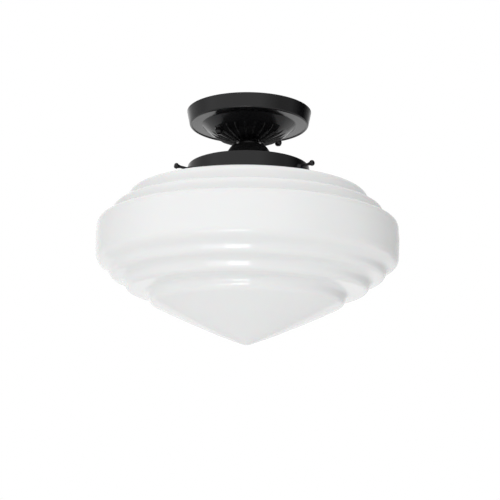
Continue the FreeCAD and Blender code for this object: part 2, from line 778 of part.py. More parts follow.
for side, azimuth in SCREW_AZIMUTHS.items():
    parts["thumb_screw_" + side] = thumb_screw(azimuth)

os.makedirs("parts", exist_ok=True)
for name, shape in parts.items():
    box = shape.optimalBoundingBox(False)
    print(name, len(shape.Solids), "solid", shape.isValid(), round(shape.Volume),
          [round(value, 1) for value in (box.XMin, box.YMin, box.ZMin, box.XMax, box.YMax, box.ZMax)])
    shape.exportStep(os.path.join("parts", name + ".step"))
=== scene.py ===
# %% [markdown]
# # A semi flush ceiling light with an opal glass shade
# A school-house light hangs close under the ceiling: a black pressed canopy with a ribbed dome, a
# short neck, a cup, a shade holder with three thumb screws, and a stepped shade of opal glass.
#
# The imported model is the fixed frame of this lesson. Every size and place of the real light is
# already there, in metres, with the ceiling at z = 0 and the light hanging down. What shows from
# outside is made again here as smooth lathe work, because a spun or blown surface shows every facet
# in its highlights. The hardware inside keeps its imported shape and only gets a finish.

# %% Load the frame
import math

import bmesh
import bpy
from mathutils import Matrix, Vector


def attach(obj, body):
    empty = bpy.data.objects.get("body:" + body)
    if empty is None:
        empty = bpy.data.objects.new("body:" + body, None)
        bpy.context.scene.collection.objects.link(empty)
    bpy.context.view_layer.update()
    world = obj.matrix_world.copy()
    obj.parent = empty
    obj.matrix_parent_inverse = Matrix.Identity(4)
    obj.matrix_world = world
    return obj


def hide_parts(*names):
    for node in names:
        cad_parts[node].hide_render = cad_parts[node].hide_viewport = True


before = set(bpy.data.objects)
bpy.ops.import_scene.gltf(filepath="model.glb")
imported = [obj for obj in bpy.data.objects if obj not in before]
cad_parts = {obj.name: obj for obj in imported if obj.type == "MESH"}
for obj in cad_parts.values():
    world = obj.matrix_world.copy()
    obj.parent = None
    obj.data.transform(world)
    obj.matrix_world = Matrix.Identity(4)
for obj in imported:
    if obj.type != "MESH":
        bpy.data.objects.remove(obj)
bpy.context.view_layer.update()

MM = 0.001

# %% [markdown]
# ## Small helpers for node trees
# Materials and Geometry Nodes are both made of nodes, and both can be drawn by hand in the node
# editor. Here they are written out, so that every value has a place where it can be read and
# changed. Four short functions keep that readable: one makes a group with named sockets, one adds a
# node, one links or sets an input, and one does a sum.


# %% Groups, nodes and wires
def new_group(name, kind, inputs, outputs):
    """An empty node group with named sockets: inputs as (name, type, default)."""
    group = bpy.data.node_groups.new(name, kind)
    for socket, socket_type, default in inputs:
        made = group.interface.new_socket(socket, in_out="INPUT", socket_type=socket_type)
        if default is not None:
            made.default_value = default
    for socket, socket_type in outputs:
        group.interface.new_socket(socket, in_out="OUTPUT", socket_type=socket_type)
    return group


def add(tree, node_type, **settings):
    """Adds a node. The settings are properties of the node, not values of its inputs."""
    node = tree.nodes.new(node_type)
    for name, value in settings.items():
        setattr(node, name, value)
    return node


def wire(tree, start, end):
    """Links an output to an input, or sets the input when the start is a plain value."""
    if isinstance(start, bpy.types.NodeSocket):
        tree.links.new(start, end)
    else:
        end.default_value = start


def maths(tree, operation, first, second=None, third=None, clamp=False):
    """One Math node, with its inputs linked or set."""
    node = add(tree, "ShaderNodeMath", operation=operation, use_clamp=clamp)
    for value, socket in zip((first, second, third), node.inputs):
        if value is not None:
            wire(tree, value, socket)
    return node.outputs[0]


print("helpers for trees: new_group, add, wire, maths")


# %% Noise and ranges
def noise(tree, where, scale, detail=2.0, roughness=0.5):
    """A Noise texture's value at the given coordinates."""
    node = add(tree, "ShaderNodeTexNoise")
    wire(tree, where, node.inputs["Vector"])
    wire(tree, scale, node.inputs["Scale"])
    node.inputs["Detail"].default_value = detail
    node.inputs["Roughness"].default_value = roughness
    return node.outputs["Fac"]


def stretch(tree, value, low, high, new_low=0.0, new_high=1.0):
    """Maps a value from one range to another, and holds it inside the new one."""
    node = add(tree, "ShaderNodeMapRange")
    for number, socket in zip((value, low, high, new_low, new_high), node.inputs):
        wire(tree, number, socket)
    return node.outputs["Result"]


print("helpers for textures: noise, stretch")

# %% [markdown]
# ## Shared unevenness: the skin
# No real surface is perfectly even. Sprayed lacquer, fired glaze and plating all have a gloss that
# changes in soft clouds, and fine lumps that make a highlight waver. An image could hold that, but
# noise on Object coordinates needs no image and has the same scale on every piece. A group holds
# the pattern, and each finish places it with its own values. The group only puts out numbers and a
# normal: the shader stays in the material, where each finish can be read in one place.

# %% Skin group
LUMP_DEPTH = 0.1 * MM


def skin_group():
    """Cloudy gloss and fine lumps, as lacquer, glaze and plating have them."""
    group = new_group(
        "Skin", "ShaderNodeTree",
        [("Lump scale", "NodeSocketFloat", 900.0), ("Lump height", "NodeSocketFloat", 0.2),
         ("Cloud scale", "NodeSocketFloat", 30.0), ("Roughness", "NodeSocketFloat", 0.4),
         ("Roughness spread", "NodeSocketFloat", 0.08)],
        [("Roughness", "NodeSocketFloat"), ("Cloud", "NodeSocketFloat"),
         ("Normal", "NodeSocketVector")])
    given = add(group, "NodeGroupInput").outputs
    result = add(group, "NodeGroupOutput").inputs
    where = add(group, "ShaderNodeTexCoord").outputs["Object"]

    # The cloud runs from 0 to 1, so twice its distance from the middle runs from -1 to 1.
    cloud = noise(group, where, given["Cloud scale"], detail=3.0)
    centred = maths(group, "SUBTRACT", cloud, 0.5)
    spread = maths(group, "MULTIPLY", centred, given["Roughness spread"])
    doubled = maths(group, "MULTIPLY", spread, 2.0)
    wire(group, maths(group, "ADD", given["Roughness"], doubled, clamp=True), result["Roughness"])
    wire(group, cloud, result["Cloud"])

    bump = add(group, "ShaderNodeBump")
    bump.inputs["Distance"].default_value = LUMP_DEPTH
    wire(group, given["Lump height"], bump.inputs["Strength"])
    wire(group, noise(group, where, given["Lump scale"], detail=1.0), bump.inputs["Height"])
    wire(group, bump.outputs["Normal"], result["Normal"])
    return group


SKIN = skin_group()
print("group:", SKIN.name)

# %% [markdown]
# ## Shared unevenness: edges and dust
# A finish is handled most where it has an edge: lacquer thins there and plating gets brighter. A
# Bevel node gives the normal of the rounded shape, and where that differs from the true normal there
# is an edge. Noise breaks the mask up, because wear is never a drawn line. Dust is simpler: it lies
# where a surface faces up, in fine grains.

# %% Edge group
EDGE_TURN = (0.01, 0.12)
WORN_NOISE = (0.42, 0.62)


def edge_group():
    """A mask that is 1 on convex and concave edges, broken up into patches."""
    group = new_group(
        "Edges", "ShaderNodeTree",
        [("Radius", "NodeSocketFloat", 0.8 * MM), ("Patchiness", "NodeSocketFloat", 120.0)],
        [("Mask", "NodeSocketFloat")])
    given = add(group, "NodeGroupInput").outputs
    result = add(group, "NodeGroupOutput").inputs
    bevel = add(group, "ShaderNodeBevel", samples=4)
    wire(group, given["Radius"], bevel.inputs["Radius"])
    shape = add(group, "ShaderNodeNewGeometry")
    likeness = add(group, "ShaderNodeVectorMath", operation="DOT_PRODUCT")
    wire(group, bevel.outputs["Normal"], likeness.inputs[0])
    wire(group, shape.outputs["Normal"], likeness.inputs[1])
    turn = maths(group, "SUBTRACT", 1.0, likeness.outputs["Value"])
    edge = stretch(group, turn, *EDGE_TURN)
    where = add(group, "ShaderNodeTexCoord").outputs["Object"]
    patches = stretch(group, noise(group, where, given["Patchiness"], detail=4.0), *WORN_NOISE)
    wire(group, maths(group, "MULTIPLY", edge, patches), result["Mask"])
    return group


EDGES = edge_group()
print("group:", EDGES.name)

# %% Dust group
FACING_UP = (0.25, 0.95)
DUST_NOISE = (0.45, 0.7)
DUST_COLOUR = (0.42, 0.4, 0.37)


def dust_group():
    """A mask of fine dust on what faces up."""
    group = new_group(
        "Dust", "ShaderNodeTree",
        [("Amount", "NodeSocketFloat", 0.2), ("Grain scale", "NodeSocketFloat", 700.0)],
        [("Mask", "NodeSocketFloat")])
    given = add(group, "NodeGroupInput").outputs
    result = add(group, "NodeGroupOutput").inputs
    shape = add(group, "ShaderNodeNewGeometry")
    normal = add(group, "ShaderNodeSeparateXYZ")
    wire(group, shape.outputs["Normal"], normal.inputs[0])
    level = stretch(group, normal.outputs["Z"], *FACING_UP)
    where = add(group, "ShaderNodeTexCoord").outputs["Object"]
    grain = stretch(group, noise(group, where, given["Grain scale"], detail=2.0), *DUST_NOISE)
    some = maths(group, "MULTIPLY", level, grain)
    wire(group, maths(group, "MULTIPLY", some, given["Amount"], clamp=True), result["Mask"])
    return group


DUST = dust_group()
print("group:", DUST.name)

# %% [markdown]
# ## How a finish is built
# Every finish of this light is one shader with a base colour, a gloss and perhaps a metal. What
# differs is numbers, so one function builds them all: it places the skin, mixes two close colours
# by its clouds, and lays edge wear and dust over them where a finish has those. Values that are the
# same all over, such as the index of refraction, are set on the shader's own sockets.


# %% Building a finish
def place(tree, group, **values):
    """Places a shared group in a material. Spaces in socket names are written as underscores."""
    node = add(tree, "ShaderNodeGroup", node_tree=group)
    for name, value in values.items():
        node.inputs[name.replace("_", " ")].default_value = value
    return node


def blend_colour(tree, mask, first, second):
    """Mixes two colours by a mask."""
    node = add(tree, "ShaderNodeMix", data_type="RGBA")
    colours = [socket for socket in node.inputs if socket.type == "RGBA"]
    wire(tree, mask, node.inputs[0])
    for colour, socket in zip((first, second), colours):
        wire(tree, colour if isinstance(colour, bpy.types.NodeSocket) else (*colour, 1.0), socket)
    return [socket for socket in node.outputs if socket.type == "RGBA"][0]


def finish(name, colour, rough, cloud_colour, metal=0.0, edge_colour=None, dust=0.0, skin=None,
           **shader_values):
    """A material: a shader whose colour and gloss come from the shared groups."""
    material = bpy.data.materials.new(name)
    material.use_nodes = True
    tree = material.node_tree
    shader = tree.nodes["Principled BSDF"]
    body = place(tree, SKIN, Roughness=rough, **(skin or {}))
    wire(tree, body.outputs["Roughness"], shader.inputs["Roughness"])
    wire(tree, body.outputs["Normal"], shader.inputs["Normal"])
    shader.inputs["Metallic"].default_value = metal
    paint = blend_colour(tree, body.outputs["Cloud"], colour, cloud_colour)
    if edge_colour:
        worn = place(tree, EDGES)
        paint = blend_colour(tree, worn.outputs["Mask"], paint, edge_colour)
    if dust:
        dusty = place(tree, DUST, Amount=dust)
        paint = blend_colour(tree, dusty.outputs["Mask"], paint, DUST_COLOUR)
    wire(tree, paint, shader.inputs["Base Color"])
    for socket, value in shader_values.items():
        shader.inputs[socket.replace("_", " ")].default_value = value
    material.diffuse_color = (*colour, 1.0)
    return material


print("helpers for finishes: place, blend_colour, finish")

# %% [markdown]
# ## Satin black lacquer
# The canopy, neck, cup, holder, nuts and screws are sprayed with a satin black lacquer. Its own
# colour is nearly nothing. What the eye sees of it is the room, mirrored at three to four percent,
# so the gloss matters more than the colour. A slightly lower index of refraction than the usual 1.5
# sets how strong the mirror is, and a paler edge shows where the coat is thin.

# %% Black lacquer
BLACK = finish("satin_black_lacquer", (0.004, 0.004, 0.0045), 0.17, (0.006, 0.006, 0.0065),
               edge_colour=(0.016, 0.016, 0.017), dust=0.04, IOR=1.44,
               skin={"Lump_scale": 1100.0, "Lump_height": 0.08, "Roughness_spread": 0.04})
print("finish:", BLACK.name)

# %% [markdown]
# ## Opal glass
# Opal glass is white all the way through. Light goes a few millimetres in and comes out again,
# which the shader's subsurface scattering does, under a smooth, fire polished surface. Real opal
# glass also lets some light through to the far side. The photograph shows no lamp that is lit inside,
# so a white body under a gloss is enough. The lumps of blown glass are long and low, so their noise
# has a small scale.

# %% Opal glass
OPAL = finish("opal_glass", (0.86, 0.865, 0.865), 0.07, (0.875, 0.875, 0.872),
              skin={"Lump_scale": 25.0, "Lump_height": 0.2, "Cloud_scale": 12.0,
                    "Roughness_spread": 0.05},
              Subsurface_Weight=0.15, Subsurface_Scale=0.004, IOR=1.5)
print("finish:", OPAL.name)

# %% [markdown]
# ## Finishes of the hardware
# Inside are zinc plated steel, a drawn brass screw shell, one nickel plated screw that marks the
# neutral wire, a green dyed ground screw, glazed porcelain, wire insulation, moulded connectors and
# bare copper. A bare metal gets its colour from its reflections, so it has a metallic value of 1 and
# a coloured base. The dye lies over its steel like a thin paint, so the metal shows less there. The
# glaze on the porcelain is a second, clear layer, which is what the shader's coat is for.

# %% Metals
STEEL = finish("zinc_plated_steel", (0.55, 0.54, 0.5), 0.34, (0.64, 0.62, 0.55), metal=1.0,
               edge_colour=(0.75, 0.74, 0.7), dust=0.1)
BRASS = finish("drawn_brass", (0.72, 0.5, 0.2), 0.28, (0.8, 0.58, 0.27), metal=1.0)
NICKEL = finish("nickel_plate", (0.66, 0.64, 0.6), 0.24, (0.72, 0.7, 0.65), metal=1.0)
COPPER = finish("bare_copper", (0.66, 0.3, 0.16), 0.3, (0.5, 0.24, 0.14), metal=1.0)
GREEN_STEEL = finish("green_dyed_steel", (0.05, 0.24, 0.1), 0.4, (0.07, 0.3, 0.13), metal=0.7)
print("metals:", [metal.name for metal in (STEEL, BRASS, NICKEL, COPPER, GREEN_STEEL)])

# %% Porcelain, insulation and connectors
PORCELAIN = finish("glazed_porcelain", (0.82, 0.8, 0.75), 0.12, (0.86, 0.84, 0.8),
                   skin={"Lump_scale": 160.0, "Lump_height": 0.15}, Coat_Weight=0.4)
BLACK_WIRE = finish("black_insulation", (0.02, 0.02, 0.02), 0.5, (0.03, 0.03, 0.03))
WHITE_WIRE = finish("white_insulation", (0.75, 0.75, 0.72), 0.5, (0.8, 0.8, 0.78))
ORANGE = finish("orange_connector", (0.75, 0.24, 0.04), 0.35, (0.8, 0.28, 0.05))
GREEN = finish("green_connector", (0.03, 0.26, 0.09), 0.35, (0.04, 0.3, 0.11))
print("finishes in all:", len(bpy.data.materials))

# %% [markdown]
# ## A lathe made of nodes
# Almost every visible part of this light was turned, spun or blown, so one line turned around an
# axis gives its shape. Blender could do that with the Spin tool or the Screw modifier. A small
# Geometry Nodes lathe is used instead, because it rounds the corners as well. Each profile point
# carries its own rounding, in the curve's radius, so a drawn corner list stays as short as a
# turner's sketch.
#
# The first half of the tree smooths the line: the corners are filleted, and where a piece asks for
# it the line is divided evenly and eased, as molten glass eases in a mould. The second half lays a
# flat grid around the axis, one column for each step of the turn, and closes it at its seam and its
# poles by merging what lies at the same place.

# %% Lathe, first half: the line
LEAST_SPACING = 0.2 * MM


def smooth_line(tree, given):
    """The profile with rounded corners, and evenly spaced and eased where that is asked for."""
    fillet = add(tree, "GeometryNodeFilletCurve")
    fillet.mode = "POLY"
    wire(tree, given["Profile"], fillet.inputs["Curve"])
    wire(tree, given["Rounding steps"], fillet.inputs["Count"])
    wire(tree, add(tree, "GeometryNodeInputRadius").outputs[0], fillet.inputs["Radius"])
    fillet.inputs["Limit Radius"].default_value = True

    even = add(tree, "GeometryNodeResampleCurve")
    even.mode = "LENGTH"
    wire(tree, fillet.outputs[0], even.inputs["Curve"])
    wire(tree, maths(tree, "MAXIMUM", given["Spacing"], LEAST_SPACING), even.inputs["Length"])
    blur = add(tree, "GeometryNodeBlurAttribute", data_type="FLOAT_VECTOR")
    wire(tree, add(tree, "GeometryNodeInputPosition").outputs[0], blur.inputs["Value"])
    wire(tree, given["Soften"], blur.inputs["Iterations"])
    eased = add(tree, "GeometryNodeSetPosition")
    wire(tree, even.outputs[0], eased.inputs["Geometry"])
    wire(tree, blur.outputs[0], eased.inputs["Position"])

    wants_even = add(tree, "FunctionNodeCompare", data_type="FLOAT", operation="GREATER_THAN")
    wire(tree, given["Spacing"], wants_even.inputs["A"])
    choose = add(tree, "GeometryNodeSwitch", input_type="GEOMETRY")
    wire(tree, wants_even.outputs[0], choose.inputs["Switch"])
    wire(tree, fillet.outputs[0], choose.inputs["False"])
    wire(tree, eased.outputs[0], choose.inputs["True"])
    return choose.outputs[0]


print("least spacing of a line:", LEAST_SPACING / MM, "mm")

# %% Lathe, second half: the turn
SAME_PLACE = 0.002 * MM


def spun_surface(tree, line, segments):
    """A grid with one column for each step of the turn, laid around Z along the line."""
    points = add(tree, "GeometryNodeCurveToPoints", mode="EVALUATED")
    wire(tree, line, points.inputs["Curve"])
    size = add(tree, "GeometryNodeAttributeDomainSize", component="POINTCLOUD")
    wire(tree, points.outputs["Points"], size.inputs["Geometry"])
    count = size.outputs["Point Count"]
    grid = add(tree, "GeometryNodeMeshGrid")
    wire(tree, maths(tree, "ADD", segments, 1.0), grid.inputs["Vertices X"])
    wire(tree, count, grid.inputs["Vertices Y"])

    # The grid counts its vertices column by column. The half keeps the division off whole numbers.
    index = add(tree, "GeometryNodeInputIndex").outputs[0]
    inside = maths(tree, "ADD", index, 0.5)
    column = maths(tree, "FLOOR", maths(tree, "DIVIDE", inside, count))
    row = maths(tree, "SUBTRACT", index, maths(tree, "MULTIPLY", column, count))
    sample = add(tree, "GeometryNodeSampleIndex", data_type="FLOAT_VECTOR")
    wire(tree, points.outputs["Points"], sample.inputs["Geometry"])
    wire(tree, add(tree, "GeometryNodeInputPosition").outputs[0], sample.inputs["Value"])
    wire(tree, row, sample.inputs["Index"])
    rotate = add(tree, "ShaderNodeVectorRotate", rotation_type="Z_AXIS")
    wire(tree, sample.outputs[0], rotate.inputs["Vector"])
    share = maths(tree, "DIVIDE", column, segments)
    wire(tree, maths(tree, "MULTIPLY", share, math.tau), rotate.inputs["Angle"])

    placed = add(tree, "GeometryNodeSetPosition")
    wire(tree, grid.outputs["Mesh"], placed.inputs["Geometry"])
    wire(tree, rotate.outputs[0], placed.inputs["Position"])
    closed = add(tree, "GeometryNodeMergeByDistance")
    wire(tree, placed.outputs[0], closed.inputs["Geometry"])
    closed.inputs["Distance"].default_value = SAME_PLACE
    return closed.outputs[0]


print("points merge within", SAME_PLACE / MM, "mm")


# %% Lathe, put together
def finish_tree(tree, surface, given, result):
    """Ends a tree: what it made becomes real geometry and gets its material."""
    real = add(tree, "GeometryNodeRealizeInstances")
    wire(tree, surface, real.inputs["Geometry"])
    painted = add(tree, "GeometryNodeSetMaterial")
    wire(tree, real.outputs[0], painted.inputs["Geometry"])
    wire(tree, given["Material"], painted.inputs["Material"])
    wire(tree, painted.outputs[0], result["Mesh"])


def lathe_tree():
    """Smooths a profile in the XZ plane and turns it around Z."""
    tree = new_group(
        "Lathe", "GeometryNodeTree",
        [("Profile", "NodeSocketGeometry", None), ("Segments", "NodeSocketInt", 128),
         ("Rounding steps", "NodeSocketInt", 6), ("Spacing", "NodeSocketFloat", 0.0),
         ("Soften", "NodeSocketInt", 0), ("Material", "NodeSocketMaterial", None)],
        [("Mesh", "NodeSocketGeometry")])
    given = add(tree, "NodeGroupInput").outputs
    result = add(tree, "NodeGroupOutput").inputs
    surface = spun_surface(tree, smooth_line(tree, given), given["Segments"])
    smooth = add(tree, "GeometryNodeSetShadeSmooth")
    wire(tree, surface, smooth.inputs["Geometry"])
    finish_tree(tree, smooth.outputs[0], given, result)
    return tree


LATHE = lathe_tree()
print("lathe nodes:", len(LATHE.nodes))

# %% [markdown]
# ## From a tree to a plain mesh
# A tree lives in a modifier, and an exported part needs plain meshes. So the modifier is set by the
# identifiers of its sockets, the object is evaluated once, and the result is kept as a mesh while
# the object and its modifier go. A closed mesh may still be inside out, because a profile can be
# drawn either way round, so its normals are made consistent and its volume says which side is out.


# %% Running a tree
def run_tree(source, tree, values):
    """Runs a Geometry Nodes tree on an object and returns the plain mesh. The object is removed."""
    modifier = source.modifiers.new("tree", "NODES")
    modifier.node_group = tree
    for item in tree.interface.items_tree:
        if item.item_type == "SOCKET" and item.in_out == "INPUT" and item.name in values:
            modifier[item.identifier] = values[item.name]
    bpy.context.view_layer.update()
    evaluated = source.evaluated_get(bpy.context.evaluated_depsgraph_get())
    mesh = bpy.data.meshes.new_from_object(evaluated)
    source.modifiers.remove(modifier)
    bpy.data.objects.remove(source)
    return mesh


def new_object(name, data):
    """An object in the scene with the given mesh, curve, lamp or camera."""
    made = bpy.data.objects.new(name, data)
    bpy.context.scene.collection.objects.link(made)
    return made


def outward(mesh):
    """Points the faces of a closed mesh outwards and returns its volume."""
    shell = bmesh.new()
    shell.from_mesh(mesh)
    bmesh.ops.recalc_face_normals(shell, faces=shell.faces)
    volume = shell.calc_volume(signed=True)
    if volume < 0:
        bmesh.ops.reverse_faces(shell, faces=shell.faces)
    shell.to_mesh(mesh)
    shell.free()
    return abs(volume)


print("helpers for meshes: run_tree, new_object, outward")


# %% Turning a piece
def profile_curve(corners):
    """A profile as a poly curve. Corners are (radius, height, rounding) in millimetres."""
    data = bpy.data.curves.new("profile", "CURVE")
    data.dimensions = "3D"
    spline = data.splines.new("POLY")
    spline.points.add(len(corners) - 1)
    for point, (r, z, rounding) in zip(spline.points, corners):
        point.co = (r * MM, 0.0, z * MM, 1.0)
        point.radius = rounding * MM
    return new_object("profile", data)


def turned(name, corners, material, segments=128, steps=6, spacing=0.0, soften=0, where=None):
    """A closed turned piece. The profile goes round its section and ends where it started."""
    source = profile_curve(corners + corners[:1])
    mesh = run_tree(source, LATHE, {"Segments": segments, "Rounding steps": steps,
                                    "Spacing": spacing * MM, "Soften": soften,
                                    "Material": material})
    if where:
        mesh.transform(where)
    volume = outward(mesh)
    mesh.name = name
    print(f"{name}: {len(mesh.polygons)} faces, {volume / MM**3:.0f} mm3")
    return new_object(name, mesh)


def settle(piece, body, node=None):
    """Makes a piece ride on its body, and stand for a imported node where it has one."""
    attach(piece, body)
    if node:
        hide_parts(node)
    return piece


print("helpers for pieces: profile_curve, turned, settle")

# %% [markdown]
# ## The opal glass shade
# The shade is blown into a mould: a neck with a bead that the thumb screws hold, a shoulder, two
# steps out to a broad band, two steps in again, and a cone with a blunt tip. It could be cut from
# simple solids, but then each step would be a sharp ring. Mould blown glass has no sharp corner
# anywhere, so the profile's roundings are made first, then the whole line is divided evenly and
# eased a little. The inner side is the same line moved in by the wall, so the steps show inside too.

# %% Outline of the glass
GLASS_WALL = 3.2
GLASS_NECK_R = 71.3
GLASS_RIM_Z = -76.8
GLASS_TIP_Z = -299.0
GLASS_BEAD = [(GLASS_NECK_R - GLASS_WALL, GLASS_RIM_Z, 0.8), (75.0, GLASS_RIM_Z, 2.6),
              (75.0, -83.2, 2.6), (GLASS_NECK_R, -84.0, 1.0)]
GLASS_SHOULDER = [(GLASS_NECK_R, -92.3, 3.0), (150.5, -112.0, 9.0)]
GLASS_STEPS_OUT = [(153.0, -131.5, 4.0), (169.5, -128.5, 7.0), (171.0, -149.0, 4.0)]
GLASS_BAND = [(187.4, -144.6, 8.0), (188.8, -170.0, 90.0), (187.4, -199.6, 12.0)]
GLASS_STEPS_IN = [(173.4, -207.2, 7.0), (169.4, -217.4, 7.0), (153.9, -220.9, 7.0),
                  (149.0, -233.6, 7.0), (124.4, -236.0, 6.0)]
GLASS_CONE = [(119.8, -249.2, 10.0), (78.0, -268.6, 200.0), (35.0, -287.0, 200.0),
              (3.0, GLASS_TIP_Z + 0.1, 5.0), (0.0, GLASS_TIP_Z, 0.0)]
GLASS_BELOW_BEAD = GLASS_SHOULDER + GLASS_STEPS_OUT + GLASS_BAND + GLASS_STEPS_IN + GLASS_CONE
print("corners of the glass:", len(GLASS_BEAD + GLASS_BELOW_BEAD))


# %% The glass piece
def beside(corners, distance):
    """The corners of a line that runs at this distance on the right of a profile."""
    points = [Vector((r, z)) for r, z, rounding in corners]
    runs = [(end - start).normalized() for start, end in zip(points, points[1:])]
    normals = [Vector((run.y, -run.x)) for run in runs]
    moved = [points[0] + normals[0] * distance]
    for point, before, after in zip(points[1:], normals, normals[1:]):
        moved.append(point + (before + after) * (distance / (1 + before.dot(after))))
    moved.append(points[-1] + normals[-1] * distance)
    return [(point.x, point.y, corner[2]) for point, corner in zip(moved, corners)]


def glass_section():
    """The outer line with its bead, then the plain inner line from the tip back to the rim."""
    inner = beside([(GLASS_NECK_R, GLASS_RIM_Z, 0.8)] + GLASS_BELOW_BEAD, GLASS_WALL)
    inner[-1] = (0.0, GLASS_TIP_Z + GLASS_WALL, 0.0)
    return GLASS_BEAD + GLASS_BELOW_BEAD + inner[:0:-1]


shade = turned("opal_shade", glass_section(), OPAL, segments=192, steps=6, spacing=1.4, soften=2)
settle(shade, "shade", "glass_shade")

# %% [markdown]
# ## The canopy pan
# The canopy covers the hole in the ceiling. It is pressed from one sheet: a wall that leans in
# towards its foot, a shallow recess just inside the foot, a flat band, a cove, and a dome that comes
# down to the neck. It is turned from a section that has the sheet's thickness all round, so the
# inside is as true as the outside. A bevel would be the usual way to break its edges, but here the
# profile's own roundings do that. Weighted normals then keep the flats flat in the reflections.


# %% Sheet sections
def square_end(end, neighbour, outer_end):
    """Slides the end of an inner line along its run until the sheet's edge is cut square."""
    (r1, z1, rounding), (r2, z2, _) = end, neighbour
    if abs(z2 - z1) > abs(r2 - r1):
        share = (outer_end[1] - z1) / (z2 - z1)
    else:
        share = (outer_end[0] - r1) / (r2 - r1)
    return r1 + share * (r2 - r1), z1 + share * (z2 - z1), rounding


def sheet_section(corners, thickness):
    """A closed section: the outer corners, then the inner ones on the way back."""
    inner = beside(corners, thickness)
    inner[0] = square_end(inner[0], inner[1], corners[0])
    inner[-1] = square_end(inner[-1], inner[-2], corners[-1])
    return corners + inner[::-1]


def crisp_flats(piece):
    """Lets the large flat faces keep their own normals, so that roundings stay narrow bands."""
    modifier = piece.modifiers.new("flats", "WEIGHTED_NORMAL")
    modifier.mode = "FACE_AREA"
    modifier.keep_sharp = True
    evaluated = piece.evaluated_get(bpy.context.evaluated_depsgraph_get())
    mesh = bpy.data.meshes.new_from_object(evaluated)
    piece.modifiers.remove(modifier)
    piece.data = mesh
    return piece


SHEET = 1.2
print("sheet of the canopy and the holder:", SHEET, "mm")

# %% Canopy
BORE_R = 5.2
BORE_EDGE = 0.2
DOME_FOOT_Z = -40.0
CANOPY_WALL = [(79.4, 0.0, 0.3), (75.6, -18.0, 2.6)]
CANOPY_RECESS = [(73.1, -18.0, 0.5), (72.6, -16.9, 0.5)]
CANOPY_BAND_END = [(60.0, -17.2, 3.0)]
CANOPY_DOME = [(49.6, -26.0, 6.0), (42.2, -30.6, 14.0), (33.0, -34.6, 20.0), (24.0, -38.2, 20.0),
               (15.0, DOME_FOOT_Z, 6.0), (BORE_R, DOME_FOOT_Z, BORE_EDGE)]
CANOPY = CANOPY_WALL + CANOPY_RECESS + CANOPY_BAND_END + CANOPY_DOME
canopy = turned("canopy_pan", sheet_section(CANOPY, SHEET), BLACK, segments=160, steps=7)
settle(crisp_flats(canopy), "lamp", "canopy")

# %% [markdown]
# ## Neck collar
# Under the canopy a threaded tube carries three more pieces, one on the other. The first is a short
# collar that keeps the cup off the canopy. A cylinder with a bevel would do as well, but its section
# has only four corners, so it goes through the lathe like the rest.

# %% Collar
COLLAR_R = 13.2
CUP_TOP_Z = -44.4
COLLAR = [(BORE_R, DOME_FOOT_Z, 0.1), (COLLAR_R, DOME_FOOT_Z, 0.8), (COLLAR_R, CUP_TOP_Z, 0.8),
          (BORE_R, CUP_TOP_Z, 0.1)]
collar = turned("neck_collar_smooth", COLLAR, BLACK, segments=64)
settle(crisp_flats(collar), "lamp", "neck_collar")

# %% [markdown]
# ## Dome cup
# The cup below the collar is spun from thinner sheet: a nearly flat top, a round shoulder and a side
# that swells as it opens downwards. It could be sculpted from a sphere, but two rounded corners
# between its bore and its foot are enough, and they can be changed one number at a time.

# %% Cup
CUP_SHEET = 1.0
HOLDER_TOP_Z = -72.2
CUP = [(BORE_R, CUP_TOP_Z, BORE_EDGE), (22.5, -45.0, 7.0), (30.5, -57.4, 22.0),
       (36.0, HOLDER_TOP_Z, 0.3)]
cup = turned("dome_cup_smooth", sheet_section(CUP, CUP_SHEET), BLACK, segments=96, steps=10)
settle(crisp_flats(cup), "lamp", "dome_cup")

# %% [markdown]
# ## Shade holder
# The holder is a shallow cap whose wall flares a little, and the shade's neck goes up into it. It is
# of the same sheet as the canopy. A solid disc would look the same from outside, but then the neck
# of the glass would be inside metal, so the holder is turned from a section of even thickness too.

# %% Holder
HOLDER = [(BORE_R, HOLDER_TOP_Z, BORE_EDGE), (76.9, HOLDER_TOP_Z, 2.0), (79.0, -92.0, 0.3)]
holder = turned("shade_holder_smooth", sheet_section(HOLDER, SHEET), BLACK, segments=160, steps=8)
settle(crisp_flats(holder), "lamp", "shade_holder")

# %% [markdown]
# ## Ribs on the dome
# Twenty four thin ribs run down the dome like the ribs of a shell, and they catch the light beside
# the neck. They could be drawn as bump in the material, but the outline of the dome shows them, so
# they are real. One rib is a bent bar that follows the dome's arc, with a rounded crest and ends
# that run out into the sheet. A second tree sets copies of it in a ring, turns each to face outwards
# and makes them real, because an exported model keeps no instances.


# %% The ring tree
def ring_tree():
    """Sets copies of a piece around Z, evenly, from a first angle."""
    tree = new_group(
        "Ring of copies", "GeometryNodeTree",
        [("Piece", "NodeSocketGeometry", None), ("Count", "NodeSocketInt", 24),
         ("First angle", "NodeSocketFloat", 0.0), ("Material", "NodeSocketMaterial", None)],
        [("Mesh", "NodeSocketGeometry")])
    given = add(tree, "NodeGroupInput").outputs
    result = add(tree, "NodeGroupOutput").inputs
    points = add(tree, "GeometryNodePoints")
    wire(tree, given["Count"], points.inputs["Count"])
    index = add(tree, "GeometryNodeInputIndex").outputs[0]
    step = maths(tree, "DIVIDE", math.tau, given["Count"])
    turn = add(tree, "ShaderNodeCombineXYZ")
    wire(tree, maths(tree, "MULTIPLY_ADD", index, step, given["First angle"]), turn.inputs["Z"])
    copies = add(tree, "GeometryNodeInstanceOnPoints")
    wire(tree, points.outputs[0], copies.inputs["Points"])
    wire(tree, given["Piece"], copies.inputs["Instance"])
    wire(tree, turn.outputs[0], copies.inputs["Rotation"])
    finish_tree(tree, copies.outputs[0], given, result)
    return tree


RING = ring_tree()
print("ring nodes:", len(RING.nodes))

# %% The dome's arc
DOME_ARC = [(52.6, -24.3), (33.0, -34.0), (16.0, DOME_FOOT_Z)]


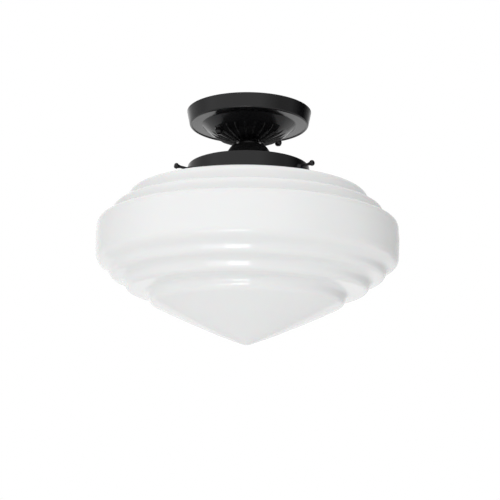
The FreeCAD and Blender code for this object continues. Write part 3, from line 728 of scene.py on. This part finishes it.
def circle_through(points):
    """The centre and radius of the circle through three points."""
    (x1, z1), (x2, z2), (x3, z3) = points
    turn = 2 * (x1 * (z2 - z3) + x2 * (z3 - z1) + x3 * (z1 - z2))
    s1, s2, s3 = x1**2 + z1**2, x2**2 + z2**2, x3**2 + z3**2
    x = (s1 * (z2 - z3) + s2 * (z3 - z1) + s3 * (z1 - z2)) / turn
    z = (s1 * (x3 - x2) + s2 * (x1 - x3) + s3 * (x2 - x1)) / turn
    return x, z, math.hypot(x1 - x, z1 - z)


ARC_X, ARC_Z, ARC_R = circle_through(DOME_ARC)
print(f"the dome's arc has a radius of {ARC_R:.1f} mm")


def dome_height(r):
    """The height of the dome's outer face at a radius."""
    return ARC_Z - math.sqrt(ARC_R**2 - (r - ARC_X) ** 2)


# %% One rib
RIB_WIDTH = 2.1
RIB_HEIGHT = 2.4
RIB_OUTER_R = 48.5
RIB_INNER_R = 15.5
RIB_ROOT = 0.8              # how far a rib reaches into the sheet
RIB_RISE = 0.3              # the share of its length over which the outer end rises
RIB_FALL = 0.1              # the share over which the inner end runs out
RIB_TAPER = 0.25            # how much lower it is near the neck
RIB_STATIONS = 22
CREST_FLANK = 0.6           # the crest's rounding, in shares of half the width
CREST_DROP = 0.12
SIDE_DROP = 0.5


def rib_section(height):
    """From one root over the rounded crest to the other, as (across, up) in millimetres."""
    half = RIB_WIDTH / 2
    side = [(half, RIB_ROOT), (half, SIDE_DROP * half - height),
            (CREST_FLANK * half, CREST_DROP * half - height)]
    return [(-across, up) for across, up in side] + [(0.0, -height)] + side[::-1]


def rib_rows(shape):
    """The rib's vertices, one row for each station from its outer to its inner end."""
    rows = []
    for station in range(RIB_STATIONS + 1):
        share = station / RIB_STATIONS
        r = RIB_OUTER_R + (RIB_INNER_R - RIB_OUTER_R) * share
        swell = min(1.0, share / RIB_RISE, (1 - share) / RIB_FALL)
        height = RIB_HEIGHT * math.sin(swell * math.pi / 2) * (1 - RIB_TAPER * share)
        base = dome_height(r)
        rows.append([shape.verts.new((r * MM, across * MM, (base + up) * MM))
                     for across, up in rib_section(height)])
    return rows


def rib_mesh():
    """One rib as a closed bar, ready to be copied around the dome."""
    shape = bmesh.new()
    rows = rib_rows(shape)
    for first, second in zip(rows, rows[1:]):
        for a, b, c, d in zip(first, first[1:], second[1:], second):
            shape.faces.new((a, b, c, d))
        shape.faces.new((first[-1], first[0], second[0], second[-1]))
    shape.faces.new(rows[0])
    shape.faces.new(rows[-1][::-1])
    bmesh.ops.recalc_face_normals(shape, faces=shape.faces)
    mesh = bpy.data.meshes.new("rib")
    shape.to_mesh(mesh)
    shape.free()
    mesh.shade_smooth()
    return mesh


# %% The ring of ribs
RIB_COUNT = 24
RIB_CREASE = math.radians(50)
STUD_AZIMUTH = math.radians(31.0)   # from the right side towards the back
# The first rib stands half a pitch beside a stud, so that each ball nut sits between two ribs.
ribs_mesh = run_tree(new_object("rib", rib_mesh()), RING, {
    "Count": RIB_COUNT, "First angle": STUD_AZIMUTH + math.pi / RIB_COUNT, "Material": BLACK})
ribs_mesh.set_sharp_from_angle(angle=RIB_CREASE)
settle(new_object("canopy_ribs", ribs_mesh), "lamp")
print("ribs:", RIB_COUNT, "with", len(ribs_mesh.polygons), "faces")

# %% [markdown]
# ## Ball nuts
# Two studs come down from the plate above the canopy, and a ball nut on each pulls the canopy
# against the ceiling. A nut is a short collar with a ball below it, and it bears on a round seat
# pressed into the dome. Nut and seat are small turned parts, so the same lathe makes both around
# the z axis, and a matrix moves each to its stud. The nut rides on a body of its own, because it
# runs down its stud. The seat stays with the lamp.

# %% Ball nuts and their seats
STUD_CIRCLE = 44.45 * MM
BALL_NUT = [(2.2, -28.3, 0.1), (3.9, -28.3, 0.3), (3.9, -28.9, 0.3), (4.8, -31.8, 3.0),
            (3.5, -35.9, 2.6), (0.0, -36.6, 0.0), (0.0, -34.0, 0.0), (2.2, -34.0, 0.0)]
BALL_SEAT = [(2.5, -28.2, 0.1), (5.2, -28.2, 0.3), (5.2, -24.8, 0.1), (4.0, -24.8, 0.1),
             (4.0, -27.0, 0.1), (2.5, -27.0, 0.1)]
for side, azimuth in (("right", STUD_AZIMUTH), ("left", STUD_AZIMUTH + math.pi)):
    stud = Matrix.Translation((STUD_CIRCLE * math.cos(azimuth), STUD_CIRCLE * math.sin(azimuth), 0))
    nut = turned(f"ball_nut_{side}_smooth", BALL_NUT, BLACK, segments=40, steps=5, where=stud)
    settle(nut, f"nut_{side}", f"ball_nut_{side}")
    seat = turned(f"ball_seat_{side}", BALL_SEAT, BLACK, segments=40, where=stud)
    settle(seat, "lamp")

# %% [markdown]
# ## Thumb screws
# Three screws, evenly spaced around the holder, reach in under the bead of the glass and carry it.
# Each is a thin shank with a ball head for the fingers, and it runs in a short tapped collar on the
# holder's wall. They are tilted, so that the heads stand a little higher than the tips. Screw and
# collar are turned upright around the z axis, and one matrix lays both down: it tilts them, moves
# them out to the wall, and turns them to their place around the light. Blender could rotate and move
# each object instead, but a mesh that is already in place needs no rotation in the exported model.

# %% Thumb screws and their collars
SCREW_TILT = math.radians(7.0)
WALL_R = 78.22              # where a screw's axis goes through the holder's wall
WALL_Z = -84.6
SCREW = [(0.0, -6.6, 0.0), (1.25, -6.6, 0.2), (1.75, -6.1, 0.2), (1.75, 13.2, 1.5),
         (2.6, 16.5, 0.8), (3.6, 17.6, 1.0), (3.6, 20.0, 1.6), (2.4, 21.3, 1.2), (0.0, 21.5, 0.0)]
SCREW_COLLAR = [(1.82, -0.8, 0.1), (4.6, -0.8, 0.1), (3.7, 1.2, 1.6), (2.9, 3.9, 0.4),
                (1.82, 3.9, 0.2)]
for side, azimuth in (("right", -37.0), ("left", -157.0), ("rear", 83.0)):
    axis = (Matrix.Rotation(math.radians(azimuth), 4, "Z")
            @ Matrix.Translation((WALL_R * MM, 0, WALL_Z * MM))
            @ Matrix.Rotation(math.pi / 2 - SCREW_TILT, 4, "Y"))
    screw = turned(f"thumb_screw_{side}_smooth", SCREW, BLACK, segments=32, steps=4, where=axis)
    settle(screw, f"screw_{side}", f"thumb_screw_{side}")
    boss = turned(f"screw_collar_{side}", SCREW_COLLAR, BLACK, segments=40, steps=4, where=axis)
    settle(boss, "lamp")

# %% [markdown]
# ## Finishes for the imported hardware
# The plate, studs, nuts, socket and wires sit inside, where only a view from above or with the
# glass taken off shows them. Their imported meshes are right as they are, so they are never moved or
# changed. A table from finish to nodes is enough, and the script stops if the table forgets one.

# %% Hardware
HARDWARE = {
    STEEL: ["mounting_plate", "nipple", "canopy_washer", "canopy_locknut", "holder_washer",
            "holder_locknut", "bracket_locknut", "stud_right", "stud_left", "stud_nut_right",
            "stud_nut_left", "socket_bracket", "bracket_screws"],
    BRASS: ["screw_shell", "centre_contact", "terminal_screw_hot"],
    NICKEL: ["terminal_screw_neutral"],
    PORCELAIN: ["socket_body"],
    BLACK_WIRE: ["lead_black"],
    WHITE_WIRE: ["lead_white"],
    ORANGE: ["wire_connector_black", "wire_connector_white"],
    GREEN: ["wire_connector_ground"],
    COPPER: ["ground_wire"],
    GREEN_STEEL: ["ground_screw"],
}
dressed = set()
for material, nodes in HARDWARE.items():
    for node in nodes:
        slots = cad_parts[node].data.materials
        slots.clear()
        slots.append(material)
        dressed.add(node)
shown = {name for name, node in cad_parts.items() if not node.hide_render}
assert shown <= dressed, shown - dressed
print("packed nodes with a finish:", len(dressed))

# %% [markdown]
# ## The floor
# The light hangs from a ceiling, so nothing stands under it, and in the photograph's view only white
# shows behind it. A plain pale floor far below gives the views from above something to stand on.

# %% Floor
FLOOR_Z = -2.4
FLOOR_REACH = 6.0
FLOOR_GREY = 0.86
FLOOR_ROUGHNESS = 0.9
floor_mesh = bpy.data.meshes.new("floor")
floor_corners = [(x * FLOOR_REACH, y * FLOOR_REACH, FLOOR_Z)
                 for x, y in ((-1, -1), (1, -1), (1, 1), (-1, 1))]
floor_mesh.from_pydata(floor_corners, [], [(0, 1, 2, 3)])
pale = bpy.data.materials.new("pale_floor")
pale.use_nodes = True
pale_shader = pale.node_tree.nodes["Principled BSDF"]
pale_shader.inputs["Base Color"].default_value = (FLOOR_GREY, FLOOR_GREY, FLOOR_GREY, 1.0)
pale_shader.inputs["Roughness"].default_value = FLOOR_ROUGHNESS
floor_mesh.materials.append(pale)
new_object("floor", floor_mesh)
print("floor at", FLOOR_Z, "m")

# %% [markdown]
# ## The room's light
# The photograph was taken in a white studio. Black lacquer shows little but what it mirrors, so the
# room matters more here than any lamp. The world is white to the camera, and to rays that come off
# gloss or go through glass, so that the black parts mirror a white room. To matt surfaces it gives
# a level of its own, with a little more from the right, as the opal glass shows it.
#
# A studio is never quite even. In the photograph the lacquer is darker on its right and far left,
# and lighter where it mirrors what lies low behind. A world can hold that as soft round patches:
# each has an axis, and it fades in as the direction comes near the axis. The camera never sees them.


# %% World
def soft_patch(tree, direction, axis, starts, full, change):
    """How much brighter or darker the room is in a direction near an axis. The cosine of the
    angle to the axis says where the patch starts and where it is full."""
    along = add(tree, "ShaderNodeVectorMath", operation="DOT_PRODUCT")
    wire(tree, direction, along.inputs[0])
    along.inputs[1].default_value = Vector(axis).normalized()
    return stretch(tree, along.outputs["Value"], starts, full, 0.0, change)


def studio_world(ambient, side_ambient, side_starts, patches):
    """White for what is seen, mirrored or seen through glass, and an ambient level for the rest."""
    world = bpy.data.worlds.new("studio")
    world.use_nodes = True
    tree = world.node_tree
    background = tree.nodes["Background"]
    background.inputs["Color"].default_value = (1, 1, 1, 1)
    direction = add(tree, "ShaderNodeTexCoord").outputs["Generated"]
    split = add(tree, "ShaderNodeSeparateXYZ")
    wire(tree, direction, split.inputs[0])

    path = add(tree, "ShaderNodeLightPath").outputs
    direct = maths(tree, "ADD", path["Is Camera Ray"], path["Is Transmission Ray"], clamp=True)
    white = maths(tree, "ADD", direct, path["Is Glossy Ray"], clamp=True)
    matt = stretch(tree, split.outputs["X"], side_starts, 1.0, ambient, side_ambient)
    level = add(tree, "ShaderNodeMix", data_type="FLOAT")
    wire(tree, white, level.inputs["Factor"])
    wire(tree, matt, level.inputs["A"])
    wire(tree, 1.0, level.inputs["B"])

    room = level.outputs["Result"]
    indirect = maths(tree, "SUBTRACT", 1.0, direct)
    for patch in patches:
        change = soft_patch(tree, direction, *patch)
        room = maths(tree, "MULTIPLY_ADD", change, indirect, room)
    wire(tree, room, background.inputs["Strength"])
    bpy.context.scene.world = world
    return world


# %% Levels of the room
AMBIENT = 1.02
SIDE_AMBIENT = 1.33
SIDE_STARTS = 0.2
DARK_RIGHT = ((1.0, 0.0, 0.05), 0.35, 0.85, -0.6)
DARK_RIGHT_BACK = ((0.75, 0.6, 0.3), 0.68, 0.92, -0.4)
DARK_LEFT = ((-0.9, 0.4, 0.3), 0.75, 0.95, -0.42)
LIGHT_LOW_BACK = ((0.0, 0.93, -0.37), 0.965, 0.99, 0.12)
PATCHES = [DARK_RIGHT, DARK_RIGHT_BACK, DARK_LEFT, LIGHT_LOW_BACK]
room = studio_world(AMBIENT, SIDE_AMBIENT, SIDE_STARTS, PATCHES)
print("world:", room.name, "with", len(PATCHES), "patches")

# %% [markdown]
# ## Two soft boxes
# The rounded edges of the glass steps carry short bright dashes, one above the other. Each dash is
# the same low window in front of the light, mirrored in one rounding. A soft box with a smaller and
# brighter one just before it gives them, so that a dash is bright and fades to its left. An area
# lamp's energy is spread over its size, so it is worked out from how bright the box should look.

# %% Soft boxes
LIGHT_MIDDLE = Vector((0.0, 0.0, -0.15))


def softbox(name, azimuth, elevation, distance, size, radiance):
    """A rectangular lamp that faces the light. Azimuth 0 is the camera's side, left is negative."""
    lamp = bpy.data.lights.new(name, "AREA")
    lamp.shape = "RECTANGLE"
    lamp.size, lamp.size_y = size
    lamp.energy = radiance * math.pi * size[0] * size[1]
    across, up = math.radians(azimuth), math.radians(elevation)
    aim = Vector((-math.sin(across) * math.cos(up), math.cos(across) * math.cos(up), -math.sin(up)))
    stand = new_object(name, lamp)
    stand.location = LIGHT_MIDDLE - distance * aim
    stand.rotation_euler = aim.to_track_quat("-Z", "Y").to_euler()
    return stand


softbox("window", azimuth=-18, elevation=-36, distance=2.2, size=(1.4, 0.35), radiance=1.9)
softbox("window_core", azimuth=-8.5, elevation=-36, distance=2.15, size=(0.62, 0.35), radiance=3.3)
print("lamps:", [lamp.name for lamp in bpy.data.lights])

# %% [markdown]
# ## The camera
# The photograph looks up at the light from about a metre and a half away, so near that the canopy is
# seen at a steeper angle than the glass. The camera was fitted to the outlines in the photograph: a
# distance, a rise, a focal length in pixels, a slight roll, and the pixel column on which the light's
# axis falls. The last one becomes a small shift of the lens, so that the view isn't turned for it.

# %% Camera
CAMERA_DISTANCE = 1.465
CAMERA_RISE = math.radians(12.12)   # how steeply it looks up
CAMERA_ROLL = math.radians(0.75)
AIM_Z = -0.1794                     # the height on the light's axis that it looks at
FOCAL_PIXELS = 1172.0
IMAGE_PIXELS = 500.0
AXIS_PIXEL = 247.4                  # the column of the light's axis
SENSOR_WIDTH = 36.0
camera_data = bpy.data.cameras.new("camera")
camera_data.sensor_width = SENSOR_WIDTH
camera_data.lens = SENSOR_WIDTH * FOCAL_PIXELS / IMAGE_PIXELS
camera_data.shift_x = (IMAGE_PIXELS / 2 - AXIS_PIXEL) / IMAGE_PIXELS
camera = new_object("camera", camera_data)
camera.location = (0, -CAMERA_DISTANCE * math.cos(CAMERA_RISE),
                   AIM_Z - CAMERA_DISTANCE * math.sin(CAMERA_RISE))
upright = Matrix.Rotation(math.pi / 2 + CAMERA_RISE, 4, "X")
camera.rotation_euler = (upright @ Matrix.Rotation(CAMERA_ROLL, 4, "Z")).to_euler()
bpy.context.scene.camera = camera
bpy.context.scene.view_settings.view_transform = "Standard"
print("lens", round(camera_data.lens, 1), "mm")
